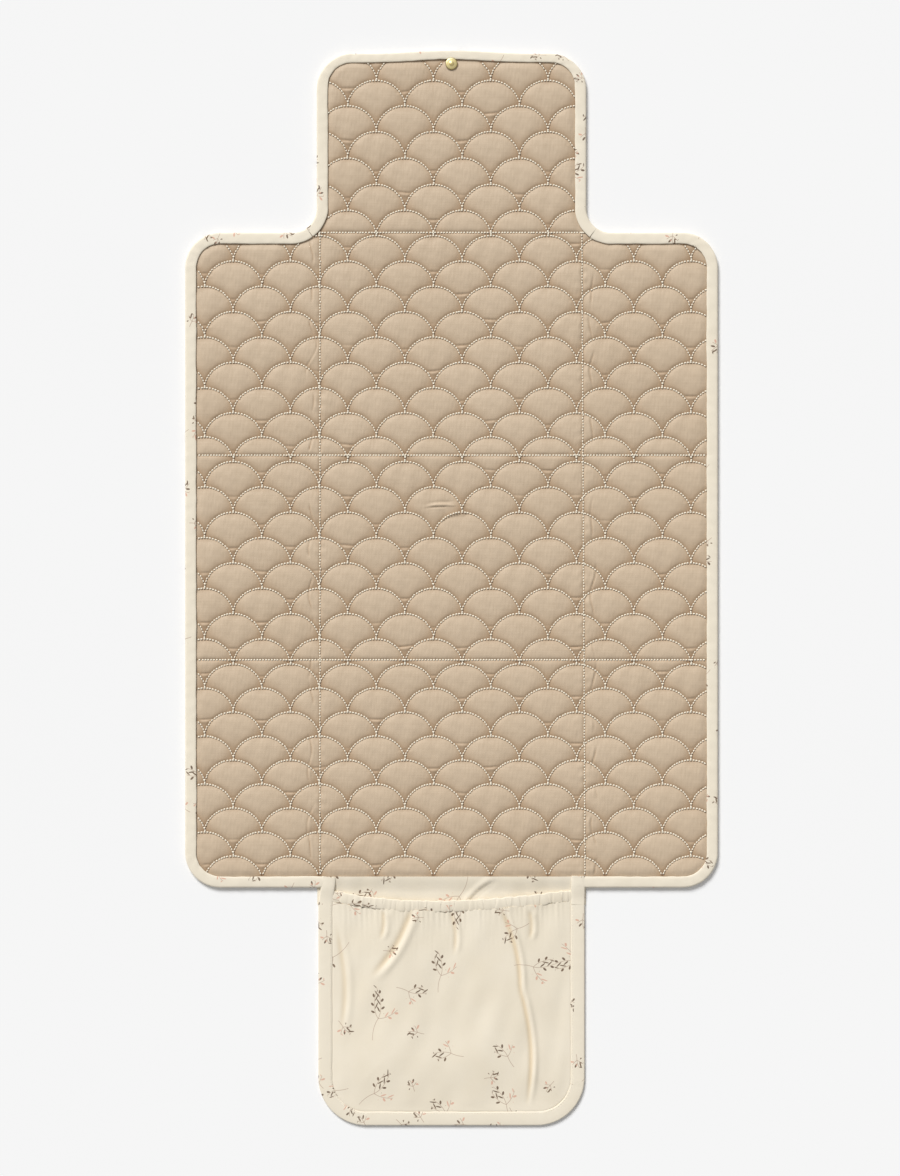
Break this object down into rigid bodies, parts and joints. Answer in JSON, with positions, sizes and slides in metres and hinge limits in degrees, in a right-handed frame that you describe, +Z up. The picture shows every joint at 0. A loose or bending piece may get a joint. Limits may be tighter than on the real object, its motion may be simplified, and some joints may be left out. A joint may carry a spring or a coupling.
{
  "type": "fold-up changing mat",
  "caption": "Quilted cloth changing mat that folds into a clutch: column of panels, two wings, a head flap with a snap and a gathered pocket flap at the foot.",
  "frame": {"origin": "middle of the open mat's outline, on the surface it lies on", "axes": "+Y towards the head flap, +X across to the right wing, +Z up out of the quilted face"},
  "size_m": [0.5, 1.009, 0.0069],
  "materials": {
    "face_cloth": "satin",
    "wadding": "matte",
    "back_cloth": "matte",
    "binding": "matte",
    "pocket_cloth": "matte",
    "patch": "matte",
    "elastic": "matte",
    "snap_metal": "polished"
  },
  "bodies": {
    "head_flap": {"head_back_cloth": "back_cloth", "head_binding": "binding", "head_face_cloth": "face_cloth", "head_wadding": "wadding", "snap_stud": "snap_metal", "snap_stud_cap": "snap_metal"},
    "upper_panel": {"upper_back_cloth": "back_cloth", "upper_face_cloth": "face_cloth", "upper_wadding": "wadding"},
    "middle_panel": {"middle_back_cloth": "back_cloth", "middle_face_cloth": "face_cloth", "middle_wadding": "wadding", "snap_socket": "snap_metal", "snap_patch": "patch", "snap_prong_ring": "snap_metal"},
    "lower_panel": {"lower_back_cloth": "back_cloth", "lower_binding": "binding", "lower_face_cloth": "face_cloth", "lower_wadding": "wadding"},
    "left_wing_upper": {"left_wing_upper_back_cloth": "back_cloth", "left_wing_upper_binding": "binding", "left_wing_upper_face_cloth": "face_cloth", "left_wing_upper_wadding": "wadding"},
    "left_wing_middle": {"left_wing_middle_back_cloth": "back_cloth", "left_wing_middle_binding": "binding", "left_wing_middle_face_cloth": "face_cloth", "left_wing_middle_wadding": "wadding"},
    "left_wing_lower": {"left_wing_lower_back_cloth": "back_cloth", "left_wing_lower_binding": "binding", "left_wing_lower_face_cloth": "face_cloth", "left_wing_lower_wadding": "wadding"},
    "right_wing_upper": {"right_wing_upper_back_cloth": "back_cloth", "right_wing_upper_binding": "binding", "right_wing_upper_face_cloth": "face_cloth", "right_wing_upper_wadding": "wadding"},
    "right_wing_middle": {"right_wing_middle_back_cloth": "back_cloth", "right_wing_middle_binding": "binding", "right_wing_middle_face_cloth": "face_cloth", "right_wing_middle_wadding": "wadding"},
    "right_wing_lower": {"right_wing_lower_back_cloth": "back_cloth", "right_wing_lower_binding": "binding", "right_wing_lower_face_cloth": "face_cloth", "right_wing_lower_wadding": "wadding"},
    "pocket_flap": {"pocket_back_panel": "pocket_cloth", "pocket_binding": "binding", "pocket_elastic": "elastic", "pocket_front_panel": "pocket_cloth"}
  },
  "joints": [
    {"name": "head_fold", "type": "hinge", "parent": "upper_panel", "child": "head_flap", "pos_m": [0, 0.3335, 0.0192], "axis": [1, 0, 0], "range_deg": [0, 180]},
    {"name": "upper_fold", "type": "hinge", "parent": "upper_panel", "child": "middle_panel", "pos_m": [0, 0.1245, 0.01695], "axis": [-1, 0, 0], "range_deg": [0, 180]},
    {"name": "lower_fold", "type": "hinge", "parent": "middle_panel", "child": "lower_panel", "pos_m": [0, -0.0675, 0.01245], "axis": [-1, 0, 0], "range_deg": [0, 180]},
    {"name": "pocket_fold", "type": "hinge", "parent": "lower_panel", "child": "pocket_flap", "pos_m": [0, -0.2815, 0.00795], "axis": [-1, 0, 0], "range_deg": [0, 180]},
    {"name": "left_wing_fold", "type": "hinge", "parent": "upper_panel", "child": "left_wing_upper", "pos_m": [-0.126, 0.229, 0.00435], "axis": [0, 1, 0], "range_deg": [0, 180]},
    {"name": "left_wing_middle_fold", "type": "hinge", "parent": "middle_panel", "child": "left_wing_middle", "pos_m": [-0.126, 0.0285, 0.00435], "axis": [0, 1, 0], "range_deg": [0, 180]},
    {"name": "left_wing_lower_fold", "type": "hinge", "parent": "lower_panel", "child": "left_wing_lower", "pos_m": [-0.126, -0.1745, 0.00435], "axis": [0, 1, 0], "range_deg": [0, 180]},
    {"name": "right_wing_fold", "type": "hinge", "parent": "upper_panel", "child": "right_wing_upper", "pos_m": [0.126, 0.229, 0.00435], "axis": [0, -1, 0], "range_deg": [0, 180]},
    {"name": "right_wing_middle_fold", "type": "hinge", "parent": "middle_panel", "child": "right_wing_middle", "pos_m": [0.126, 0.0285, 0.00435], "axis": [0, -1, 0], "range_deg": [0, 180]},
    {"name": "right_wing_lower_fold", "type": "hinge", "parent": "lower_panel", "child": "right_wing_lower", "pos_m": [0.126, -0.1745, 0.00435], "axis": [0, -1, 0], "range_deg": [0, 180]}
  ],
  "couplings": [
    {"joint": "left_wing_middle_fold", "follows": "left_wing_fold", "ratio": 1},
    {"joint": "left_wing_lower_fold", "follows": "left_wing_fold", "ratio": 1},
    {"joint": "right_wing_middle_fold", "follows": "right_wing_fold", "ratio": 1},
    {"joint": "right_wing_lower_fold", "follows": "right_wing_fold", "ratio": 1}
  ]
}
